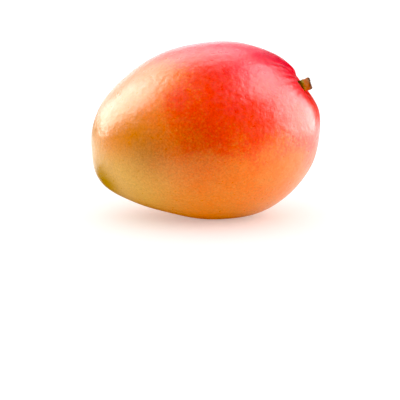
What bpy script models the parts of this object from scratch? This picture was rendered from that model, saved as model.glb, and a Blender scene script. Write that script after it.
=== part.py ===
"""A mango lying on its belly, with the short woody stub of its stem.

World frame: metres, +Z up, with the origin at the centre of the small flat spot that the fruit rests on. +X points
towards the stem end, and Y runs from cheek to cheek, so Y = 0 is the fruit's plane of symmetry.

The fruit is an ellipsoid with a few bell-shaped swells and hollows in its skin: a shoulder above the stem, a full
belly, a small beak at the far end with a shallow hollow under it, the dimple that the stem grows out of, and a brow
over that dimple. The stub is a turned plug whose foot stands in a shallow socket at the bottom of the dimple.
"""

from math import cos, exp, pi, radians, sin

import bmesh
import bpy
import numpy as np
from mathutils import Matrix, Vector

MM = 0.001
GAP = 0.3 * MM  # clearance between two pieces that touch

# The fruit's ellipsoid, from its middle: to the stem end, to the back or belly, and to a cheek
HALF_LENGTH = 60.0 * MM
HALF_DEPTH = 45.0 * MM
HALF_THICKNESS = 41.5 * MM
STEM_END_RAISED = radians(8)  # slope of the long axis as the fruit lies
REST_CUT = 0.7 * MM  # how much of the lowest skin the flat spot takes away

# Swells and hollows of the skin. Each has its middle in the symmetry plane, at an angle from the long axis at the
# stem end, counted over the back; a spread, which is the bell's standard deviation; and a height, which is
# negative in a hollow.
STEM_ANGLE = 18.5
SWELLS = {
    "stem_dimple": (STEM_ANGLE, 7.2, -5.9 * MM),
    "brow_over_stem": (26.5, 3.8, 1.7 * MM),
    "shoulder": (60.0, 22.0, 1.4 * MM),
    "back": (142.0, 14.0, -1.2 * MM),
    "beak": (198.0, 9.0, 3.3 * MM),
    "under_beak": (234.0, 13.0, -2.7 * MM),
    "belly": (300.0, 21.0, 3.6 * MM),
    "stem_end": (352.0, 10.0, -1.7 * MM),
}

# The fruit's mesh: a globe whose poles are the stem and the point opposite it, with its rings closer together
# near the stem
MERIDIANS = 72
RINGS = 48
RING_CROWDING = 1.35

# The stub, along its own axis from the dimple's floor
STUB_LEAN = 9.0  # direction of its axis, in degrees from the long axis
STUB_LENGTH = 6.6 * MM
STUB_FOOT_DEPTH = 1.6 * MM  # how deep its foot stands in the socket
STUB_FOOT_RADIUS = 2.9 * MM
STUB_NECK_RADIUS = 2.8 * MM
STUB_KNOB_SWELL = 0.4 * MM  # the knob at the cut end is this much wider than the neck
STUB_KNOB_SPREAD = 1.3 * MM
STUB_EDGE_RADIUS = 0.6 * MM  # rounding of the cut end
STUB_SIDES = 32
STUB_PROFILE_STEPS = 10
STUB_EDGE_STEPS = 4


def new_material(name, colour, roughness):
    """A Principled material of one linear colour, with no metal in it."""
    material = bpy.data.materials.new(name)
    material.use_nodes = True
    shader = material.node_tree.nodes["Principled BSDF"]
    shader.inputs["Base Color"].default_value = (*colour, 1.0)
    shader.inputs["Roughness"].default_value = roughness
    shader.inputs["Metallic"].default_value = 0.0
    return material


def new_collection(name):
    """A collection under the scene's own one."""
    collection = bpy.data.collections.new(name)
    bpy.context.scene.collection.children.link(collection)
    return collection


def new_object(name, bm, collection):
    """Puts a bmesh into a new smooth-shaded object and frees it."""
    mesh = bpy.data.meshes.new(name)
    bm.to_mesh(mesh)
    bm.free()
    mesh.shade_smooth()
    obj = bpy.data.objects.new(name, mesh)
    collection.objects.link(obj)
    return obj


def in_symmetry_plane(degrees):
    """The unit direction at that angle from the stem end of the long axis, counted over the back."""
    return Vector((cos(radians(degrees)), 0.0, sin(radians(degrees))))


def skin_distance(directions):
    """Distance from the fruit's middle to its skin along unit directions, one to a row of an array.

    It is the ellipsoid's radius, plus for each swell its height times a bell of the angle between the direction
    and the swell's middle.
    """
    half_axes = np.array([HALF_LENGTH, HALF_THICKNESS, HALF_DEPTH])
    distance = 1.0 / np.linalg.norm(directions / half_axes, axis=1)
    for angle, spread, height in SWELLS.values():
        apart = np.arccos(np.clip(directions @ np.array(in_symmetry_plane(angle)), -1.0, 1.0))
        distance += height * np.exp(-0.5 * (apart / radians(spread)) ** 2)
    return distance


def globe_directions(bm):
    """Unit directions of a globe's vertices, with its rings crowded towards +Z and +Z turned to the stem."""
    unit = np.array([vertex.co.normalized() for vertex in bm.verts])
    polar = np.arccos(np.clip(unit[:, 2], -1.0, 1.0))
    around = np.arctan2(unit[:, 1], unit[:, 0])
    polar = pi * (polar / pi) ** RING_CROWDING
    crowded = np.stack(
        [np.sin(polar) * np.cos(around), np.sin(polar) * np.sin(around), np.cos(polar)], axis=1
    )
    to_stem = Vector((0.0, 0.0, 1.0)).rotation_difference(in_symmetry_plane(STEM_ANGLE))
    return crowded @ np.array(to_stem.to_matrix()).T


def cut_rest_spot(bm, turn):
    """Slices the lowest skin off and closes it with a flat face. Returns the face's centre."""
    down = turn.inverted() @ Vector((0.0, 0.0, -1.0))
    lowest = max(vertex.co.dot(down) for vertex in bm.verts)
    everything = bm.verts[:] + bm.edges[:] + bm.faces[:]
    bmesh.ops.bisect_plane(
        bm, geom=everything, plane_co=down * (lowest - REST_CUT), plane_no=down, clear_outer=True
    )
    rim = [edge for edge in bm.edges if edge.is_boundary]
    foot = bmesh.ops.edgeloop_fill(bm, edges=rim)["faces"][0]
    bmesh.ops.recalc_face_normals(bm, faces=bm.faces[:])
    return foot.calc_center_median_weighted()


def make_fruit(collection):
    """The fruit, in its own frame with its long axis on X, laid on its flat spot over the world's origin."""
    bm = bmesh.new()
    bmesh.ops.create_uvsphere(bm, u_segments=MERIDIANS, v_segments=RINGS, radius=1.0)
    directions = globe_directions(bm)
    for vertex, place in zip(bm.verts, directions * skin_distance(directions)[:, None]):
        vertex.co = place
    turn = Matrix.Rotation(-STEM_END_RAISED, 3, "Y")
    rest_centre = cut_rest_spot(bm, turn)
    fruit = new_object("fruit", bm, collection)
    fruit.rotation_euler = turn.to_euler()
    fruit.location = -(turn @ rest_centre)
    fruit.data.materials.append(new_material("mango_skin", (0.86, 0.16, 0.03), 0.38))
    return fruit


def stub_profile():
    """(radius, height) of the stub from its cut end's middle down to its foot's middle.

    The neck has one radius, and the knob adds a bell to it. The cut end's edge is a quarter of a circle.
    """
    knob_height = STUB_LENGTH - STUB_KNOB_SPREAD

    def side(height):
        knob = STUB_KNOB_SWELL * exp(-0.5 * ((height - knob_height) / STUB_KNOB_SPREAD) ** 2)
        return STUB_NECK_RADIUS + knob

    edge_height = STUB_LENGTH - STUB_EDGE_RADIUS
    edge_middle = side(edge_height) - STUB_EDGE_RADIUS
    points = [(0.0, STUB_LENGTH)]
    for step in range(STUB_EDGE_STEPS + 1):
        turned = pi / 2 * step / STUB_EDGE_STEPS
        points.append(
            (
                edge_middle + STUB_EDGE_RADIUS * sin(turned),
                edge_height + STUB_EDGE_RADIUS * cos(turned),
            )
        )
    for step in range(1, STUB_PROFILE_STEPS + 1):
        height = edge_height * (1.0 - step / STUB_PROFILE_STEPS)
        points.append((side(height), height))
    points.append((STUB_FOOT_RADIUS, -STUB_FOOT_DEPTH))
    points.append((0.0, -STUB_FOOT_DEPTH))
    return points


def add_turning(obj):
    """Turns the profile in an object's mesh round its Z axis."""
    screw = obj.modifiers.new("turning", "SCREW")
    screw.steps = STUB_SIDES
    screw.render_steps = STUB_SIDES
    screw.use_merge_vertices = True
    screw.merge_threshold = 0.00001
    screw.use_smooth_shade = True


def stub_seat():
    """Where the stub's axis meets the dimple's floor, and the turn that points +Z along that axis."""
    direction = in_symmetry_plane(STEM_ANGLE)
    floor = direction * float(skin_distance(np.array([direction]))[0])
    return floor, Vector((0.0, 0.0, 1.0)).rotation_difference(in_symmetry_plane(STUB_LEAN))


def make_stub(fruit, collection):
    """The stub, carried by the fruit, with its foot down in the socket."""
    bm = bmesh.new()
    corners = [bm.verts.new((radius, 0.0, height)) for radius, height in stub_profile()]
    for upper, lower in zip(corners, corners[1:]):
        bm.edges.new((upper, lower))
    stub = new_object("stem", bm, collection)
    add_turning(stub)
    place_in_fruit(stub, fruit)
    stub.data.materials.append(new_material("stem_bark", (0.30, 0.14, 0.05), 0.8))


def cut_socket(fruit, cutters):
    """Cuts the round socket for the stub's foot, a gap wider and deeper than the foot."""
    height = 2.0 * (STUB_FOOT_DEPTH + GAP)
    bm = bmesh.new()
    bmesh.ops.create_cone(
        bm,
        cap_ends=True,
        segments=STUB_SIDES,
        radius1=STUB_FOOT_RADIUS + GAP,
        radius2=STUB_FOOT_RADIUS + GAP,
        depth=height,
    )
    cutter = new_object("stem_socket_cutter", bm, cutters)
    place_in_fruit(cutter, fruit)
    cutter.hide_render = True
    cutter.display_type = "WIRE"
    socket = fruit.modifiers.new("stem_socket", "BOOLEAN")
    socket.operation = "DIFFERENCE"
    socket.object = cutter


def place_in_fruit(obj, fruit):
    """Stands an object on the dimple's floor, along the stub's axis, as a child of the fruit."""
    floor, turn = stub_seat()
    obj.parent = fruit
    obj.location = floor
    obj.rotation_euler = turn.to_euler()


def main():
    for obj in list(bpy.data.objects):
        bpy.data.objects.remove(obj)
    mango = new_collection("mango")
    cutters = new_collection("mango_cutters")
    fruit = make_fruit(mango)
    make_stub(fruit, mango)
    cut_socket(fruit, cutters)


main()
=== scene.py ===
# %% [markdown]
# # A ripe mango on a white table
# The real object is one fruit that lies on its belly, with the short woody stub of its stalk. The packed
# model already fixes its size and place, so it is loaded first. Everything after this gives it its looks: a
# finer surface for the skin, a rough stub, a finish for each, and then the light, the table and the camera.

from math import pi

import bpy
import numpy as np
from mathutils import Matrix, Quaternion, Vector


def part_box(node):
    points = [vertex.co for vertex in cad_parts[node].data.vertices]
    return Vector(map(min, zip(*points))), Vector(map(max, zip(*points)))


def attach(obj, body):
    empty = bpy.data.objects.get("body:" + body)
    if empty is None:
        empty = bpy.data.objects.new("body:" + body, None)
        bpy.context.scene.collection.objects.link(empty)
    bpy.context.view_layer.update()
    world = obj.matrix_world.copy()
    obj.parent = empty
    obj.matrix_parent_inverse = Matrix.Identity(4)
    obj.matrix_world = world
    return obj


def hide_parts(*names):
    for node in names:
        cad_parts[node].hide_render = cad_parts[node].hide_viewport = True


MM = 0.001
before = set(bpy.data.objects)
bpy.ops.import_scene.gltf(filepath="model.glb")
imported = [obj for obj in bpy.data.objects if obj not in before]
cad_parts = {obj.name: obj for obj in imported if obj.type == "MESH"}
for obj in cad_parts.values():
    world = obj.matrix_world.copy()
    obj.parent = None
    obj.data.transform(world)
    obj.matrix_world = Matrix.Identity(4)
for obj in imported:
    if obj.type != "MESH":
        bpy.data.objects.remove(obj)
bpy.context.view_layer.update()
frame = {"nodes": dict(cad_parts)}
print("packed nodes:", ", ".join(frame["nodes"]))


# %% [markdown]
# ## The form of the fruit
# A mango isn't an egg: its back is fuller over the stem, its belly swells near the stem end, and a small
# beak points down at the far end. Sculpting could make this, but a formula is easier to read and to change.
# The fruit is an ellipsoid, and each swell or hollow is a bell added to its radius. These are the sizes
# that the solid model has too, so the skin fits the space that the solid holds.

# %% Swells and hollows of the skin
HALF_AXES = np.array([60.0, 41.5, 45.0]) * MM  # to the stem end, to a cheek, to the back
STEM_END_RAISED = np.radians(8.0)
STEM_ANGLE = 18.5
REST_CUT = 0.7 * MM  # how far the table flattens the belly

SWELLS = {  # angle over the back from the stem end, spread, both in degrees, and height
    "stem_dimple": (STEM_ANGLE, 7.2, -5.9 * MM),
    "brow_over_stem": (26.5, 3.8, 1.7 * MM),
    "shoulder": (60.0, 22.0, 1.4 * MM),
    "back": (142.0, 14.0, -1.2 * MM),
    "beak": (198.0, 9.0, 3.3 * MM),
    "under_beak": (234.0, 13.0, -2.7 * MM),
    "belly": (300.0, 21.0, 3.6 * MM),
    "stem_end": (352.0, 10.0, -1.7 * MM),
}


def in_symmetry_plane(degrees):
    """The unit direction at an angle from the stem end of the long axis, counted over the back."""
    angle = np.radians(degrees)
    return np.array([np.cos(angle), 0.0, np.sin(angle)])


def bell(value, middle, spread):
    """A bell curve: 1 at the middle, about 0.6 one spread away and nearly nothing past three."""
    return np.exp(-0.5 * ((value - middle) / spread) ** 2)


def degrees_between(directions, axis):
    """Degrees between each unit direction and one unit axis: the arc cosine of their dot product."""
    return np.degrees(np.arccos(np.clip(directions @ axis, -1.0, 1.0)))


def skin_radius(directions):
    """Distance from the fruit's middle to its skin: the ellipsoid's radius plus the height of every bell."""
    radius = 1.0 / np.linalg.norm(directions / HALF_AXES, axis=-1)
    for angle, spread, height in SWELLS.values():
        radius = radius + height * bell(degrees_between(directions, in_symmetry_plane(angle)), 0.0, spread)
    return radius


print("swells and hollows:", ", ".join(SWELLS))


# %% [markdown]
# ## A globe whose pole is the stem
# The finest shapes are round the stem, so the globe that carries the skin has its pole there, and its rings
# lie closer together near it. Two numbers name each point: the angle from the stem and the way round it.

# %% Directions of the globe's points
RINGS = 240
MERIDIANS = 360
RING_CROWDING = 1.35


def globe_angles(rings, meridians):
    """Angle from the pole and angle round it for each point, as rows of rings. The first is half a turn
    times the ring's share of the way, raised to a power that crowds the rings near the pole. The two poles
    are left out."""
    share = np.arange(1, rings) / rings
    from_pole = pi * share**RING_CROWDING
    around = 2.0 * pi * np.arange(meridians) / meridians
    return np.meshgrid(from_pole, around, indexing="ij")


def globe_directions(from_pole, around, pole):
    """Unit directions at those angles from a pole in the plane Y = 0: the pole times the cosine of the first
    angle, plus its sine times a turn between the two axes that are square to the pole."""
    upward = np.array([-pole[2], 0.0, pole[0]])
    sideways = np.array([0.0, 1.0, 0.0])
    turn = np.cos(around)[..., None] * upward + np.sin(around)[..., None] * sideways
    return np.cos(from_pole)[..., None] * pole + np.sin(from_pole)[..., None] * turn


def with_ends(rows, first_end, last_end):
    """The rows of a grid put end to end, with the values at its two closed ends after them."""
    return np.concatenate([rows.reshape(-1, *rows.shape[2:]), [first_end], [last_end]])


from_stem_grid, round_stem_grid = globe_angles(RINGS, MERIDIANS)
stem_direction = in_symmetry_plane(STEM_ANGLE)
direction_grid = globe_directions(from_stem_grid, round_stem_grid, stem_direction)
directions = with_ends(direction_grid, stem_direction, -stem_direction)
from_stem = np.degrees(with_ends(from_stem_grid, 0.0, pi))
round_stem = with_ends(round_stem_grid, 0.0, 0.0)
print("points of the skin:", len(directions))


# %% [markdown]
# ## Folds and waves of a grown skin
# No real skin is as smooth as a formula. Where the stalk pulls the skin in, fine folds run out from it, and
# all over the fruit the flesh grew a little unevenly, which makes the edges of reflections wander. Both are
# real relief, so they are made in the surface and not left to the material.

# %% Folds round the stem and long low waves
FOLD_DEPTH = 0.15 * MM
FOLDS = {  # number round the stem, share, the way they bend, and the size and number of slow shifts
    "fine": (37, 0.6, 1, 1.5, 3),
    "coarse": (23, 0.4, -1, 1.1, 2),
}
FOLD_BEND = 0.05  # how far the folds bend, in radians of their cosine for each degree from the stem
FOLD_RING = (19.0, 6.5)  # degrees from the stem where the folds are deepest, and their spread
FOLD_SIDES = (50.0, 22.0)  # degrees round the stem from the brow where they are deepest, and their spread
FOLDS_ELSEWHERE = 0.2  # share of the folds that is left away from those sides
WAVE_HEIGHT = 0.10 * MM
WAVE_SEED = 4
WAVE_LENGTHS = (14 * MM, 30 * MM)
WAVES = 10


def folds(from_stem, round_stem):
    """How high the skin stands in its folds, from -1 to 1: a fine and a coarse cosine of the way round the
    stem. They bend opposite ways as they run out, and a slow sine shifts each to make its spacing uneven."""
    bend = FOLD_BEND * from_stem
    return sum(share * np.cos(number * round_stem + way * bend + shift * np.sin(slow_number * round_stem))
               for number, share, way, shift, slow_number in FOLDS.values())


def fold_share(from_stem, round_stem):
    """How much of the folds shows: a bell in a ring round the stem, times a second bell on each side of the
    brow, which is where the angle round the stem is 0."""
    from_brow = np.degrees(np.minimum(round_stem, 2.0 * pi - round_stem))
    beside_brow = FOLDS_ELSEWHERE + (1.0 - FOLDS_ELSEWHERE) * bell(from_brow, *FOLD_SIDES)
    return bell(from_stem, *FOLD_RING) * beside_brow


def wave_height(points, seed):
    """Height of the waves: the sum of sines that run through space in all directions, over the root of their
    number, so that more waves don't make a higher relief."""
    dice = np.random.default_rng(seed)
    towards = dice.normal(size=(WAVES, 3))
    towards /= np.linalg.norm(towards, axis=1, keepdims=True)
    wave_numbers = 2.0 * pi / dice.uniform(*WAVE_LENGTHS, WAVES)
    phases = dice.uniform(0.0, 2.0 * pi, WAVES)
    waves = np.sin(points @ (towards * wave_numbers[:, None]).T + phases)
    return WAVE_HEIGHT * waves.sum(axis=1) / np.sqrt(WAVES)


plain_radius = skin_radius(directions)
fold_shape = folds(from_stem, round_stem)
fold_height = FOLD_DEPTH * fold_shape * fold_share(from_stem, round_stem)
relief = fold_height + wave_height(directions * plain_radius[:, None], WAVE_SEED)
skin_in_fruit = directions * (plain_radius + relief)[:, None]
print("relief in mm:", round(relief.min() / MM, 2), "to", round(relief.max() / MM, 2))


# %% [markdown]
# ## Laying the fruit on the table
# The skin is worked out in the fruit's own frame, with its long axis level. The fruit lies with its stem
# end a little raised, so its points are turned, moved until they fill the solid's box, and pressed flat
# where they would go through the table.

# %% From the fruit's own frame to the table
fruit_low, fruit_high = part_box("fruit")


def turned(points):
    """Points turned about Y, by their cosine and sine, until the long axis rises towards the stem end."""
    cosine, sine = np.cos(STEM_END_RAISED), np.sin(STEM_END_RAISED)
    x, y, z = np.moveaxis(points, -1, 0)
    return np.stack([cosine * x - sine * z, y, sine * x + cosine * z], axis=-1)


def soft_floor(height, softness):
    """Heights that never go below 0: well above 0 they stay, well below they become 0, and within one
    softness of 0 a parabola joins the two."""
    rounding = np.maximum(softness - np.abs(height), 0.0) ** 2 / (4.0 * softness)
    return np.maximum(height, 0.0) + rounding


plain_skin = turned(directions * plain_radius[:, None])
middle = np.array([
    (fruit_low.x + fruit_high.x) / 2 - (plain_skin[:, 0].min() + plain_skin[:, 0].max()) / 2,
    0.0,
    fruit_high.z - plain_skin[:, 2].max(),
])
skin = turned(skin_in_fruit) + middle
skin[:, 2] = soft_floor(skin[:, 2], 0.5 * REST_CUT)
print("fruit's middle in mm:", np.round(middle / MM, 1).tolist())


# %% [markdown]
# ## From points to a mesh
# A mesh needs to know which points each of its faces joins. The skin and the stub are both made of rings
# with a closed end on each side, so one function serves them both. Each face lists its corners
# anticlockwise as seen from outside, which is how Blender knows which side is out.

# %% The skin as a mesh
def closed_ring_faces(rings, meridians):
    """Corner numbers of a closed form made of rings: quads between the rings, and a fan of triangles at each
    end. The points are numbered ring by ring, and the middles of the two fans come after them all."""
    number = np.arange(rings * meridians).reshape(rings, meridians)
    after = np.roll(number, -1, axis=1)
    quads = np.stack([number[:-1], after[:-1], after[1:], number[1:]], axis=-1).reshape(-1, 4)
    first_fan = np.stack([np.full(meridians, number.size), after[0], number[0]], axis=-1)
    last_fan = np.stack([number[-1], after[-1], np.full(meridians, number.size + 1)], axis=-1)
    return quads.tolist() + first_fan.tolist() + last_fan.tolist()


def new_mesh_object(name, points, faces):
    """A smooth-shaded object with its place in its mesh."""
    mesh = bpy.data.meshes.new(name)
    mesh.from_pydata(points.tolist(), [], faces)
    mesh.shade_smooth()
    obj = bpy.data.objects.new(name, mesh)
    bpy.context.scene.collection.objects.link(obj)
    return obj


skin_piece = new_mesh_object("fruit_skin", skin, closed_ring_faces(RINGS - 1, MERIDIANS))
print("skin box in mm:", np.round(np.array([skin.min(0), skin.max(0)]) / MM, 1).tolist())


# %% [markdown]
# ## The stub of the stalk
# A picker snips the stalk off short. What is left is a woody plug a little wider at its cut end, with
# furrows along its bark, a broken rim and a sunken face where the soft pith has dried. A turned profile
# would be too neat, so the profile is carried round the axis and then pushed in and out by the furrows and
# by small lumps.

# %% Profile of the stub
STUB_LEAN = 9.0  # direction of its axis in the fruit's plane of symmetry, in degrees
STUB_LENGTH = 6.6 * MM
STUB_ROOT_DEPTH = 1.3 * MM  # how deep it goes below the dimple's floor
STUB_NECK_RADIUS = 2.9 * MM
STUB_KNOB_SWELL = 0.35 * MM
STUB_KNOB_SPREAD = 1.3 * MM
STUB_FLARE = 0.5 * MM  # how much wider it is where it leaves the fruit, and how far up that reaches
STUB_RIM_RADIUS = 1.0 * MM
STUB_FACE_HOLLOW = 0.55 * MM
SIDE_STEPS = 34
RIM_STEPS = 10
FACE_STEPS = 16


def stub_side_radius(height):
    """Radius at a height: the neck's, plus a bell for the knob and a flare that dies away from the fruit."""
    knob = STUB_KNOB_SWELL * bell(height, STUB_LENGTH - STUB_KNOB_SPREAD, STUB_KNOB_SPREAD)
    flare = STUB_FLARE * np.exp(-np.maximum(height, 0.0) / STUB_FLARE)
    return STUB_NECK_RADIUS + knob + flare


def stub_profile():
    """Radius and height from the root up the side, over the rim in a quarter circle, and in across the face,
    which sinks as one minus the square of its radius."""
    rim_height = STUB_LENGTH - STUB_RIM_RADIUS
    side_height = np.linspace(-STUB_ROOT_DEPTH, rim_height, SIDE_STEPS)
    side = np.stack([stub_side_radius(side_height), side_height], axis=1)
    face_radius = side[-1, 0] - STUB_RIM_RADIUS
    turn = 0.5 * pi * np.arange(1, RIM_STEPS + 1) / RIM_STEPS
    rim_radius, rim_rise = STUB_RIM_RADIUS * np.cos(turn), STUB_RIM_RADIUS * np.sin(turn)
    rim = np.stack([face_radius + rim_radius, rim_height + rim_rise], axis=1)
    share = 1.0 - np.arange(1, FACE_STEPS) / FACE_STEPS
    face = np.stack([face_radius * share, STUB_LENGTH - STUB_FACE_HOLLOW * (1.0 - share**2)], axis=1)
    return np.concatenate([side, rim, face])


profile = stub_profile()
print("profile points of the stub:", len(profile))


# %% [markdown]
# ## Bark and a broken rim
# Dry bark shrinks into narrow furrows with broad ridges between them, and snips tear the wood at the rim.
# So the side is pushed in by furrows, and in and out by lumps, and the rim goes up and down by a few sines.
# Near the axis they all fade, or the middle of the face would tear.

# %% Bark carried round the axis
STUB_MERIDIANS = 144
FURROWS = 11
FURROW_DEPTH = 0.22 * MM
FURROW_TWIST = 0.5  # how far the furrows turn over the stub's length, in radians of their cosine
FURROW_SHIFT = 0.7  # how far a slow sine moves them together and apart, in the same radians
RIDGE_POWER = 0.25  # the nearer to 0, the broader the ridges and the narrower the furrows
LUMP_HEIGHT = 0.10 * MM
LUMPS = ((3, 1.0, 1.9, 0.0), (5, 0.8, -2.7, 1.0))  # number round, share, radians for each mm up, phase
RIM_CHIPPING = 0.175 * MM
CHIPS = ((2, 1.0, 0.6), (7, 0.6, 0.0), (13, 0.4, 2.0))  # number round, share and phase of each sine


def stub_grid(profile):
    """The profile carried round Z. Each radius gains a furrow term, a power of a raised cosine, and sines
    for the lumps. Each height gains sines for the chips, which grow as the cube of the way up. All of them
    fade towards the axis as the square of the radius."""
    around = 2.0 * pi * np.arange(STUB_MERIDIANS) / STUB_MERIDIANS
    radius, around = np.meshgrid(profile[:, 0], around, indexing="ij")
    height = np.repeat(profile[:, 1:2], STUB_MERIDIANS, axis=1)
    from_axis = np.clip(radius / STUB_NECK_RADIUS, 0.0, 1.0) ** 2
    twist = FURROW_TWIST * height / STUB_LENGTH + FURROW_SHIFT * np.sin(2 * around)
    ridge = (0.5 + 0.5 * np.cos(FURROWS * around + twist)) ** RIDGE_POWER
    lumps = sum(share * np.sin(number * around + climb * height / MM + phase)
                for number, share, climb, phase in LUMPS)
    chips = sum(share * np.sin(number * around + phase) for number, share, phase in CHIPS)
    way_up = np.clip(height / STUB_LENGTH, 0.0, 1.0) ** 3
    radius = radius + from_axis * (FURROW_DEPTH * (ridge - 1.0) + LUMP_HEIGHT * lumps)
    height = height + from_axis * RIM_CHIPPING * way_up * chips
    return np.stack([radius * np.cos(around), radius * np.sin(around), height], axis=-1)


stub_points = with_ends(stub_grid(profile), [0.0, 0.0, -STUB_ROOT_DEPTH],
                        [0.0, 0.0, STUB_LENGTH - STUB_FACE_HOLLOW])
print("points of the stub:", len(stub_points))


# %% [markdown]
# ## Standing the stub in the dimple
# The stub was made round Z. Its Z axis becomes the stalk's own direction, which leans away from the
# dimple's, because the stalk once carried the hanging fruit. It goes a little below the dimple's floor, so
# that the waves of the skin leave no gap round it.

# %% The stub stands on the dimple's floor
stub_axis = in_symmetry_plane(STUB_LEAN)
stub_up = np.array([-stub_axis[2], 0.0, stub_axis[0]])
stub_across = np.array([0.0, 1.0, 0.0])
dimple_floor = stem_direction * skin_radius(stem_direction[None])[0]
stub_in_fruit = dimple_floor + stub_points @ np.stack([-stub_up, stub_across, stub_axis])
stub = turned(stub_in_fruit) + middle
stub_piece = new_mesh_object("stalk_stub", stub, closed_ring_faces(len(profile), STUB_MERIDIANS))
print("stub box in mm:", np.round(np.array([stub.min(0), stub.max(0)]) / MM, 1).tolist())


# %% [markdown]
# ## What the colours depend on
# A mango ripens from green to yellow and orange, and blushes red where the sun reached it. So the colour at
# a point depends on how far it is from the middle of the blush. Painting that by hand would be slow to
# change. Here it is worked out for every point and kept in the mesh as attributes, which a material reads
# by name. A number called ripeness runs from about 0, crimson, to 1, golden yellow.

# %% The blush, and soft patches that differ from it
BLUSH_MIDDLE = np.array([-7.0, -2.0, 46.0]) * MM  # from the fruit's middle: at the skin of the back
BLUSH_REACH = np.array([80.0, 137.0, 134.0]) * MM  # how far from there ripeness is 1, along each axis
REACH_TO_STEM = 5.0  # the blush reaches this many times further towards the stem than towards the beak

# Each patch has an azimuth, an elevation, a spread, all in degrees, and a strength
RIPENED = {  # ripeness is higher here, and lower where the strength is below 0
    "shoulder_of_the_beak": (-44, 51, 22, 0.29),
    "over_the_near_cheek": (-27, 31, 8, -0.05),
    "under_the_beak": (-57, -23, 21, 0.31),
    "belly_by_the_stem": (50, -8, 12, 0.06),
}
# These patches at the front darken the skin: partly browned skin, partly painted shade where the front gets
# little light
BROWNED_AND_SHADED = {"beak_side": (-40, -4, 11, 0.22), "near_cheek": (-7, 1, 20, 0.30)}  # the skin is darker here
OCHRE = {"over_the_beak_side": (-50, 7, 9, 0.75), "towards_the_tip": (-66, 2, 7, 0.60)}  # deeper orange
OLIVE_GOLD = {"tip_of_the_beak": (-79, -23, 6.5, 1.0)}  # what is left of the unripe green


def direction_to(azimuth, elevation):
    """The unit vector at an azimuth, 0 on the near side and 90 at the stem end, and an elevation."""
    azimuth, elevation = np.radians(azimuth), np.radians(elevation)
    level = np.cos(elevation)
    return np.array([np.sin(azimuth) * level, -np.cos(azimuth) * level, np.sin(elevation)])


def soft_patches(directions, patches):
    """The sum of soft round patches: a bell of the angle from each one's middle, times its strength."""
    return sum(strength * bell(degrees_between(directions, direction_to(azimuth, elevation)), 0.0, spread)
               for azimuth, elevation, spread, strength in patches.values())


print("patches of another ripeness:", len(RIPENED))


# %% Attributes of the skin
def store(piece, name, values):
    """Keeps one number for each point of a piece under a name."""
    attribute = piece.data.attributes.new(name, "FLOAT", "POINT")
    attribute.data.foreach_set("value", values.astype(np.float32))


from_middle = skin - middle
outward = from_middle / np.linalg.norm(from_middle, axis=1, keepdims=True)
from_blush = (from_middle - BLUSH_MIDDLE) / BLUSH_REACH
from_blush[:, 0] /= np.where(from_blush[:, 0] > 0.0, REACH_TO_STEM, 1.0)
ripeness = np.linalg.norm(from_blush, axis=1) + soft_patches(outward, RIPENED)
narrow_valleys = (0.5 - 0.5 * fold_shape) ** 3  # 1 at the bottom of a fold, and cubed to be narrow

store(skin_piece, "ripeness", ripeness)
# darker skin at the front: partly browned, partly painted shade
store(skin_piece, "browned_and_shaded", soft_patches(outward, BROWNED_AND_SHADED))
store(skin_piece, "ochre", soft_patches(outward, OCHRE))
store(skin_piece, "olive_gold", soft_patches(outward, OLIVE_GOLD))
store(skin_piece, "from_stem", from_stem)
# The fold valleys carry painted shade in the skin's colour, and a rougher gloss
store(skin_piece, "fold_valleys", narrow_valleys * fold_share(from_stem, round_stem))
store(stub_piece, "along", stub_points[:, 2] / STUB_LENGTH)
print("ripeness runs from", round(ripeness.min(), 2), "to", round(ripeness.max(), 2))


# %% [markdown]
# ## Building materials from nodes
# Every finish below is a few nodes in a row, so one small function adds a node, sets it and links it.
# Colours are given as sRGB hex, the way a paint programme shows them, and turned linear, which is what the
# renderer needs.

# %% Helpers for materials
def linear(hex_colour):
    """A colour given as sRGB hex, such as f5e6c8, as linear red, green, blue and full alpha."""
    encoded = np.array([int(hex_colour[i : i + 2], 16) for i in (0, 2, 4)]) / 255.0
    decoded = np.where(encoded <= 0.04045, encoded / 12.92, ((encoded + 0.055) / 1.055) ** 2.4)
    return (*decoded.tolist(), 1.0)


def new_material(name):
    """A material with its node tree and its Principled shader."""
    material = bpy.data.materials.new(name)
    material.use_nodes = True
    return material, material.node_tree, material.node_tree.nodes["Principled BSDF"]


def add_node(tree, kind, settings, inputs, stops=()):
    """Adds a node, sets its properties, and gives each input a value or a link from another node's output. A
    colour ramp also takes its stops, each a position and a hex colour."""
    node = tree.nodes.new(kind)
    for name, value in settings.items():
        setattr(node, name, value)
    if stops:
        elements = node.color_ramp.elements
        elements.remove(elements[-1])
        elements[0].position, elements[0].color = stops[0][0], linear(stops[0][1])
        for position, hex_colour in stops[1:]:
            elements.new(position).color = linear(hex_colour)
    for name, value in inputs.items():
        if isinstance(value, bpy.types.NodeSocket):
            tree.links.new(value, node.inputs[name])
        else:
            node.inputs[name].default_value = value
    return node


print("the linear red of ff0c4c is", linear("ff0c4c")[0])


# %% [markdown]
# ## The pattern in the mango's skin
# The skin is a thin tough cuticle over a coloured flesh. Cloudy patches about 11 mm wide, red freckles
# about 1 mm wide, and lenticels, which are the breathing pores, break up its colour. The pores are pale
# dots 2 mm apart. Real ones are about 0.3 mm wide, too fine to show, so they are drawn about 1 mm wide with
# soft edges. All three are a small change of ripeness, so they are added to it before a ramp turns it into
# a colour, and their average is taken off again. A noise in space is used, because it needs no unwrapping
# and has no seam.

# %% Patches, freckles and pores
PATCH_SIZE, PATCH_SHARE = 11.0 * MM, 0.16
FRECKLE_SIZE, FRECKLE_SHARE = 1.2 * MM, 0.14
PORE_SPACING, PORE_SHARE = 1.9 * MM, 0.04
PORE_EDGE = (0.15, 0.42)  # where a pore's dot begins to fade and where it ends, as shares of the spacing
AVERAGE_NOISE, AVERAGE_DOT = 0.5, 0.25
AVERAGE_PATTERN = AVERAGE_NOISE * (PATCH_SHARE + FRECKLE_SHARE) + AVERAGE_DOT * PORE_SHARE

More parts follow.
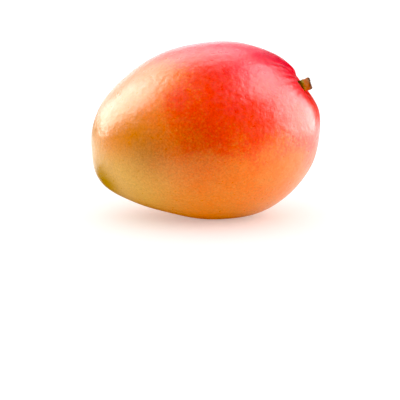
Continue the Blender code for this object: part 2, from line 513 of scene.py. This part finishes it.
skin_material, tree, shader = new_material("mango skin with its natural wax")
place = add_node(tree, "ShaderNodeTexCoord", {}, {}).outputs["Object"]
# browned_and_shaded carries browned skin together with the painted shade of the front
ripeness_value, browned_and_shaded_value, ochre_value, olive_value, stem_value, fold_value = (
    add_node(tree, "ShaderNodeAttribute", {"attribute_name": name}, {}).outputs["Fac"]
    for name in ("ripeness", "browned_and_shaded", "ochre", "olive_gold", "from_stem", "fold_valleys"))

patches = add_node(tree, "ShaderNodeTexNoise", {},
                   {"Vector": place, "Scale": 1.0 / PATCH_SIZE, "Detail": 3.0, "Roughness": 0.55})
freckles = add_node(tree, "ShaderNodeTexNoise", {},
                    {"Vector": place, "Scale": 1.0 / FRECKLE_SIZE, "Detail": 2.0, "Roughness": 0.6})
pores = add_node(tree, "ShaderNodeTexVoronoi", {},
                 {"Vector": place, "Scale": 1.0 / PORE_SPACING, "Randomness": 1.0})
pore_dots = add_node(tree, "ShaderNodeMapRange", {"interpolation_type": "SMOOTHSTEP"},
                     {"Value": pores.outputs["Distance"], "From Min": PORE_EDGE[0],
                      "From Max": PORE_EDGE[1], "To Min": 1.0, "To Max": 0.0})

with_patches = add_node(tree, "ShaderNodeMath", {"operation": "MULTIPLY_ADD"},
                        {0: patches.outputs["Fac"], 1: PATCH_SHARE, 2: ripeness_value})
with_freckles = add_node(tree, "ShaderNodeMath", {"operation": "MULTIPLY_ADD"},
                         {0: freckles.outputs["Fac"], 1: FRECKLE_SHARE, 2: with_patches.outputs[0]})
with_pores = add_node(tree, "ShaderNodeMath", {"operation": "MULTIPLY_ADD"},
                      {0: pore_dots.outputs["Result"], 1: PORE_SHARE, 2: with_freckles.outputs[0]})
local_ripeness = add_node(tree, "ShaderNodeMath", {"operation": "SUBTRACT"},
                          {0: with_pores.outputs[0], 1: AVERAGE_PATTERN})
print("patches", round(PATCH_SIZE / MM, 1), "mm, freckles", round(FRECKLE_SIZE / MM, 1), "mm, one pore in",
      round(PORE_SPACING / MM, 1), "mm")


# %% [markdown]
# ## The colours of the mango's skin
# One ramp goes from the crimson of the sunny side through scarlet and orange to a dull golden yellow. Over
# it come a deeper ochre, the olive gold at the tip, and a darkening: a fine grain of duller cells, patches at
# the front that are partly browned skin and partly painted shade where the front gets little light, and
# painted shade in the bottoms of the folds, where less light gets in. Round the stub the skin has dried to a
# narrow brown collar.

# %% Skin colours
NOISE_RANGE = (0.3, 0.7)  # a noise stays between these two nearly everywhere
GRAIN_SIZE, GRAIN_DARKNESS = 0.9 * MM, 0.22
# How far painted shade darkens the bottoms of the folds
FOLD_PAINTED_SHADE = 0.40
COLLAR_EDGE, COLLAR_DARKNESS = (3.4, 4.6), 0.85  # the edge is in degrees from the stem
OCHRE_COLOUR, OLIVE_COLOUR, COLLAR_COLOUR = "e88000", "c08c00", "4a2008"

SKIN_COLOURS = [  # ripeness and colour
    (0.0, "ff0c4c"), (0.15, "fc1030"), (0.30, "ff3218"), (0.40, "ff4818"),
    (0.50, "fc7a26"), (0.60, "f48b3a"), (0.75, "e99d4a"), (0.95, "e2ab52"),
]

skin_ramp = add_node(tree, "ShaderNodeValToRGB", {}, {"Fac": local_ripeness.outputs[0]}, SKIN_COLOURS)
with_ochre = add_node(tree, "ShaderNodeMix", {"data_type": "RGBA"},
                      {"Factor": ochre_value, 6: skin_ramp.outputs["Color"], 7: linear(OCHRE_COLOUR)})
with_olive = add_node(tree, "ShaderNodeMix", {"data_type": "RGBA"},
                      {"Factor": olive_value, 6: with_ochre.outputs[2], 7: linear(OLIVE_COLOUR)})

grain = add_node(tree, "ShaderNodeTexNoise", {},
                 {"Vector": place, "Scale": 1.0 / GRAIN_SIZE, "Detail": 2.0, "Roughness": 0.7})
dull_cells = add_node(tree, "ShaderNodeMapRange", {},
                      {"Value": grain.outputs["Fac"], "From Min": NOISE_RANGE[0],
                       "From Max": NOISE_RANGE[1], "To Min": 0.0, "To Max": GRAIN_DARKNESS})
# Painted shade: the fold valleys and the front patches darken the colour, on top of the grain of duller cells
painted_fold_shade = add_node(tree, "ShaderNodeMath", {"operation": "MULTIPLY_ADD"},
                      {0: fold_value, 1: FOLD_PAINTED_SHADE, 2: browned_and_shaded_value})
dullness_and_painted_shade = add_node(tree, "ShaderNodeMath", {"operation": "ADD"},
                    {0: dull_cells.outputs["Result"], 1: painted_fold_shade.outputs[0]})
darkened = add_node(tree, "ShaderNodeMix", {"data_type": "RGBA"},
                    {"Factor": dullness_and_painted_shade.outputs[0], 6: with_olive.outputs[2], 7: linear("000000")})
collar = add_node(tree, "ShaderNodeMapRange", {"interpolation_type": "SMOOTHSTEP"},
                  {"Value": stem_value, "From Min": COLLAR_EDGE[0], "From Max": COLLAR_EDGE[1],
                   "To Min": COLLAR_DARKNESS, "To Max": 0.0})
skin_colour = add_node(tree, "ShaderNodeMix", {"data_type": "RGBA"},
                       {"Factor": collar.outputs["Result"], 6: darkened.outputs[2],
                        7: linear(COLLAR_COLOUR)})
tree.links.new(skin_colour.outputs[2], shader.inputs["Base Color"])
print("nodes in the skin's material so far:", len(tree.nodes))


# %% [markdown]
# ## The gloss and the leather of the mango's skin
# The fruit sweats its own wax, which shines softly: sharp enough to show the shape of a window, soft enough
# to blur its edge. The cuticle is finely pebbled like leather. Its real cells are about 1 mm wide, too fine
# to show at the size the fruit is seen, so they are drawn 3 mm wide with a finer grain in them. They are
# too low to model as a mesh, so they are bumps, and they make the edge of each reflection ragged. In the
# folds less wax is left, so they are rougher.

# %% Skin gloss and relief
WAX_IOR = 1.45  # a usual value for natural waxes
LEATHER_SIZE, LEATHER_DEPTH = 3.0 * MM, 0.26 * MM
GRAIN_DEPTH = 0.03 * MM
SMOOTHEST, ROUGHEST = 0.27, 0.37
FOLD_ROUGHNESS = 0.25

leather = add_node(tree, "ShaderNodeTexNoise", {},
                   {"Vector": place, "Scale": 1.0 / LEATHER_SIZE, "Detail": 2.0, "Roughness": 0.45})
gloss = add_node(tree, "ShaderNodeMapRange", {},
                 {"Value": leather.outputs["Fac"], "From Min": NOISE_RANGE[0], "From Max": NOISE_RANGE[1],
                  "To Min": SMOOTHEST, "To Max": ROUGHEST})
gloss_with_folds = add_node(tree, "ShaderNodeMath", {"operation": "MULTIPLY_ADD"},
                            {0: fold_value, 1: FOLD_ROUGHNESS, 2: gloss.outputs["Result"]})
tree.links.new(gloss_with_folds.outputs[0], shader.inputs["Roughness"])
shader.inputs["IOR"].default_value = WAX_IOR

leather_bump = add_node(tree, "ShaderNodeBump", {},
                        {"Height": leather.outputs["Fac"], "Strength": 1.0, "Distance": LEATHER_DEPTH})
grain_bump = add_node(tree, "ShaderNodeBump", {},
                      {"Height": grain.outputs["Fac"], "Strength": 1.0, "Distance": GRAIN_DEPTH,
                       "Normal": leather_bump.outputs["Normal"]})
tree.links.new(grain_bump.outputs["Normal"], shader.inputs["Normal"])
skin_piece.data.materials.append(skin_material)
print("skin roughness from", SMOOTHEST, "to", ROUGHEST, "and more in the folds")


# %% [markdown]
# ## The stub's bark
# The stub is dry wood: an olive outer bark, darker near its root, where the dark is painted shade from the
# dimple it stands in, a yellowish streak where it is still green, a brown-orange length, and a dark rim where
# the sap dried. So its colour runs along the stub, with a fibrous noise to break the bands up. Dry wood is
# rough, so it hardly reflects.

# %% Bark material
FIBRE_SIZE, FIBRE_SHARE, FIBRE_DEPTH = 0.9 * MM, 0.4, 0.15 * MM
AVERAGE_FIBRE = AVERAGE_NOISE * FIBRE_SHARE
BARK_ROUGHNESS = 0.8
BARK_SHINE = 0.2  # as the shader's specular level, where a smooth surface has 0.5
BARK_COLOURS_AND_ROOT_SHADE = [  # share of the way along the stub, and colour
    # the two darkest stops near the root are olive bark with painted shade where the stub stands in the
    # dimple
    (0.0, "3c3208"), (0.30, "5c4a12"), (0.45, "a8903a"),
    (0.55, "b0783e"), (0.80, "ac6c38"), (0.92, "5c3214"),
]

bark_material, tree, shader = new_material("dried stalk wood")
place = add_node(tree, "ShaderNodeTexCoord", {}, {}).outputs["Object"]
along = add_node(tree, "ShaderNodeAttribute", {"attribute_name": "along"}, {}).outputs["Fac"]
fibres = add_node(tree, "ShaderNodeTexNoise", {},
                  {"Vector": place, "Scale": 1.0 / FIBRE_SIZE, "Detail": 4.0})
level_along = add_node(tree, "ShaderNodeMath", {"operation": "SUBTRACT"}, {0: along, 1: AVERAGE_FIBRE})
mottled_along = add_node(tree, "ShaderNodeMath", {"operation": "MULTIPLY_ADD"},
                         {0: fibres.outputs["Fac"], 1: FIBRE_SHARE, 2: level_along.outputs[0]})
bark_and_root_shade_ramp = add_node(tree, "ShaderNodeValToRGB", {}, {"Fac": mottled_along.outputs[0]}, BARK_COLOURS_AND_ROOT_SHADE)
tree.links.new(bark_and_root_shade_ramp.outputs["Color"], shader.inputs["Base Color"])
shader.inputs["Roughness"].default_value = BARK_ROUGHNESS
shader.inputs["Specular IOR Level"].default_value = BARK_SHINE
fibre_bump = add_node(tree, "ShaderNodeBump", {},
                      {"Height": fibres.outputs["Fac"], "Strength": 1.0, "Distance": FIBRE_DEPTH})
tree.links.new(fibre_bump.outputs["Normal"], shader.inputs["Normal"])
stub_piece.data.materials.append(bark_material)
print("fibres of the stub:", round(FIBRE_SIZE / MM, 1), "mm wide")


# %% [markdown]
# ## Soft boxes that make the reflections
# A glossy fruit shows its lights as reflections, so their size and place matter more than their power. A
# large box stands at each end of the fruit and others stand above and behind it, and the front stays dark,
# so the middle of the cheek keeps its full colour. The boxes only make reflections here, and the even light
# of the room below shows the colours. In a real studio one light does both, but kept apart each can be set
# by itself, and the fruit is then lit well from behind too.

# %% Soft boxes
look_at = Vector(middle)
SOFT_BOXES = {  # azimuth, elevation, distance, width, height, radiance and roll, in degrees and metres
    "left_box": (-100, 29, 0.55, 0.40, 0.70, 10.5, -35),
    "right_box": (89, 3, 0.30, 0.27, 0.46, 13.0, 29),
    "high_right_box": (76, 55, 0.50, 0.46, 0.22, 9.0, 20),
    "high_back_box": (-150, 55, 0.90, 1.10, 0.60, 5.5, -40),
    "back_wall": (-160, 5, 0.90, 1.00, 0.80, 2.5, -25),
    "brow_box": (168, 30, 0.90, 0.24, 0.19, 2.1, 0),
}


def add_soft_box(name, azimuth, elevation, distance, width, height, radiance, roll):
    """A flat light that faces the fruit. Its power is its radiance times its area times pi."""
    light = bpy.data.lights.new(name, "AREA")
    light.shape = "RECTANGLE"
    light.size = width
    light.size_y = height
    light.energy = radiance * width * height * pi
    obj = bpy.data.objects.new(name, light)
    bpy.context.scene.collection.objects.link(obj)
    towards = Vector(direction_to(azimuth, elevation))
    obj.location = look_at + towards * distance
    facing = towards.to_track_quat("Z", "Y") @ Quaternion((0.0, 0.0, 1.0), np.radians(roll))
    obj.rotation_euler = facing.to_euler()
    obj.visible_camera = False
    obj.visible_diffuse = False  # the box shows only in the gloss


for box_name, box in SOFT_BOXES.items():
    add_soft_box(box_name, *box)
print("soft boxes:", len(SOFT_BOXES))


# %% [markdown]
# ## A white room
# The colours need plain light from all sides, so the world is white. It is left out of the gloss, because a
# room that is white all round would lay a pale veil over the whole fruit.

# %% World
ROOM_BRIGHTNESS = 1.15
world = bpy.data.worlds.new("white_room")
bpy.context.scene.world = world
world.use_nodes = True
world.cycles_visibility.glossy = False
background = world.node_tree.nodes["Background"]
background.inputs["Color"].default_value = linear("ffffff")
background.inputs["Strength"].default_value = ROOM_BRIGHTNESS
print("room brightness:", ROOM_BRIGHTNESS)


# %% [markdown]
# ## The table
# The table is a sheet of matt white acrylic, lit from below so that it stays white to its far edge. What
# the glossy fruit shows of it is another matter: a painted pool of light where a soft box would shine on it,
# dim further off, and a painted shadow close to where the fruit stands. So the table has one look for the
# eye and one for reflections, and the Light Path node chooses between them.

# %% The table's two looks
TABLE_HALF_WIDTH = 3.0
TABLE_LIGHT = 0.3
TABLE_COLOUR, REFLECTED_COLOUR = "e7e7e7", "404040"  # to the eye, and in reflections

corners = np.array([[-1, -1, 0], [1, -1, 0], [1, 1, 0], [-1, 1, 0]]) * TABLE_HALF_WIDTH
floor = new_mesh_object("floor", corners, [[0, 1, 2, 3]])
floor_material, tree, shader = new_material("matt white acrylic, lit from below")
shader.inputs["Roughness"].default_value = 1.0
shader.inputs["Specular IOR Level"].default_value = 0.0
shader.inputs["Emission Color"].default_value = linear("ffffff")
place = add_node(tree, "ShaderNodeTexCoord", {}, {}).outputs["Object"]
in_reflections = add_node(tree, "ShaderNodeLightPath", {}, {}).outputs["Is Glossy Ray"]
floor_grey = add_node(tree, "ShaderNodeMix", {"data_type": "RGBA"},
                      {"Factor": in_reflections, 6: linear(TABLE_COLOUR), 7: linear(REFLECTED_COLOUR)})
tree.links.new(floor_grey.outputs[2], shader.inputs["Base Color"])
print("table:", 2 * TABLE_HALF_WIDTH, "m wide")


# %% [markdown]
# ## What the fruit reflects of the table
# The bright places are painted pools of light, round glows that fade with distance, and the brightest one
# counts. The dark places are painted shadows, round shades, and they are multiplied, so that two that
# overlap are darker still.

# %% Glows and shades
GLOWS = {  # place on the table, reach in metres, and brightness
    "front": ((-0.02, -0.105, 0.0), 0.085, 1.1),
    "stem_side": ((0.17, -0.03, 0.0), 0.18, 4.6),
    "past_the_stem": ((0.22, 0.13, 0.0), 0.22, 3.0),
    "beak_side": ((-0.19, 0.10, 0.0), 0.26, 2.2),
}
GLOW_CORE = 0.03  # a glow is at its full brightness this far from its middle
GLOW_LEAST = 0.1
SHADES = {  # place on the table, and how far from it the table is dark and where it is bright again
    "under_the_belly": ((-0.02, 0.0, 0.0), 0.022, 0.055),
    "under_the_beak": ((-0.073, 0.013, 0.0), 0.010, 0.028),
    "past_the_beak": ((-0.098, 0.026, 0.0), 0.008, 0.026),
}

reflected_light = GLOW_LEAST
for glow_middle, reach, brightness in GLOWS.values():
    from_glow = add_node(tree, "ShaderNodeVectorMath", {"operation": "DISTANCE"},
                         {0: place, 1: glow_middle})
    glow = add_node(tree, "ShaderNodeMapRange", {"interpolation_type": "SMOOTHSTEP"},
                    {"Value": from_glow.outputs["Value"], "From Min": GLOW_CORE, "From Max": reach,
                     "To Min": brightness, "To Max": GLOW_LEAST})
    reflected_light = add_node(tree, "ShaderNodeMath", {"operation": "MAXIMUM"},
                               {0: glow.outputs["Result"], 1: reflected_light}).outputs[0]
for shade_middle, dark, bright in SHADES.values():
    from_shade = add_node(tree, "ShaderNodeVectorMath", {"operation": "DISTANCE"},
                          {0: place, 1: shade_middle})
    shade = add_node(tree, "ShaderNodeMapRange", {"interpolation_type": "SMOOTHSTEP"},
                     {"Value": from_shade.outputs["Value"], "From Min": dark, "From Max": bright,
                      "To Min": 0.0, "To Max": 1.0})
    reflected_light = add_node(tree, "ShaderNodeMath", {"operation": "MULTIPLY"},
                               {0: reflected_light, 1: shade.outputs["Result"]}).outputs[0]
floor_light = add_node(tree, "ShaderNodeMix", {"data_type": "FLOAT"},
                       {"Factor": in_reflections, "A": TABLE_LIGHT, "B": reflected_light})
tree.links.new(floor_light.outputs["Result"], shader.inputs["Emission Strength"])
floor.data.materials.append(floor_material)
print("glows on the table:", len(GLOWS), "and shades:", len(SHADES))


# %% [markdown]
# ## The camera
# A long lens keeps the fruit's outline true, with little perspective, and the camera stands 12 degrees
# above the level of the fruit. It aims below the fruit's middle, which puts the fruit high in the picture.
# A small black level deepens the colours the way a printed picture does: it takes the same amount from red,
# green and blue, so the weakest of them falls to nearly nothing.

# %% Camera
PICTURE_WIDTH = 206.5 * MM  # how much of the fruit's plane the picture shows from side to side
LENS, SENSOR = 150.0, 36.0  # both in millimetres
FARTHEST_SEEN = 20.0
CAMERA_ELEVATION = 12.0
AIM_FROM_MIDDLE = Vector((-3.7, 0.0, -36.6)) * MM
BLACK_LEVEL = 0.035

camera_data = bpy.data.cameras.new("camera")
camera_data.lens = LENS
camera_data.sensor_width = SENSOR
camera_data.clip_end = FARTHEST_SEEN
camera = bpy.data.objects.new("camera", camera_data)
bpy.context.scene.collection.objects.link(camera)
bpy.context.scene.camera = camera
camera_distance = PICTURE_WIDTH * LENS / SENSOR
camera.location = look_at + Vector(direction_to(0.0, CAMERA_ELEVATION)) * camera_distance
aim = look_at + AIM_FROM_MIDDLE
camera.rotation_euler = (camera.location - aim).to_track_quat("Z", "Y").to_euler()
view = bpy.context.scene.view_settings
view.view_transform = "Standard"
view.use_curve_mapping = True
view.curve_mapping.black_level = (BLACK_LEVEL, BLACK_LEVEL, BLACK_LEVEL)
view.curve_mapping.update()
print("camera", round(camera_distance, 3), "m away")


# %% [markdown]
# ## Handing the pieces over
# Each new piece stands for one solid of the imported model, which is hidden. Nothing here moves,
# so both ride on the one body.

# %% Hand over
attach(skin_piece, "root")
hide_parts("fruit")
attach(stub_piece, "root")
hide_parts("stem")
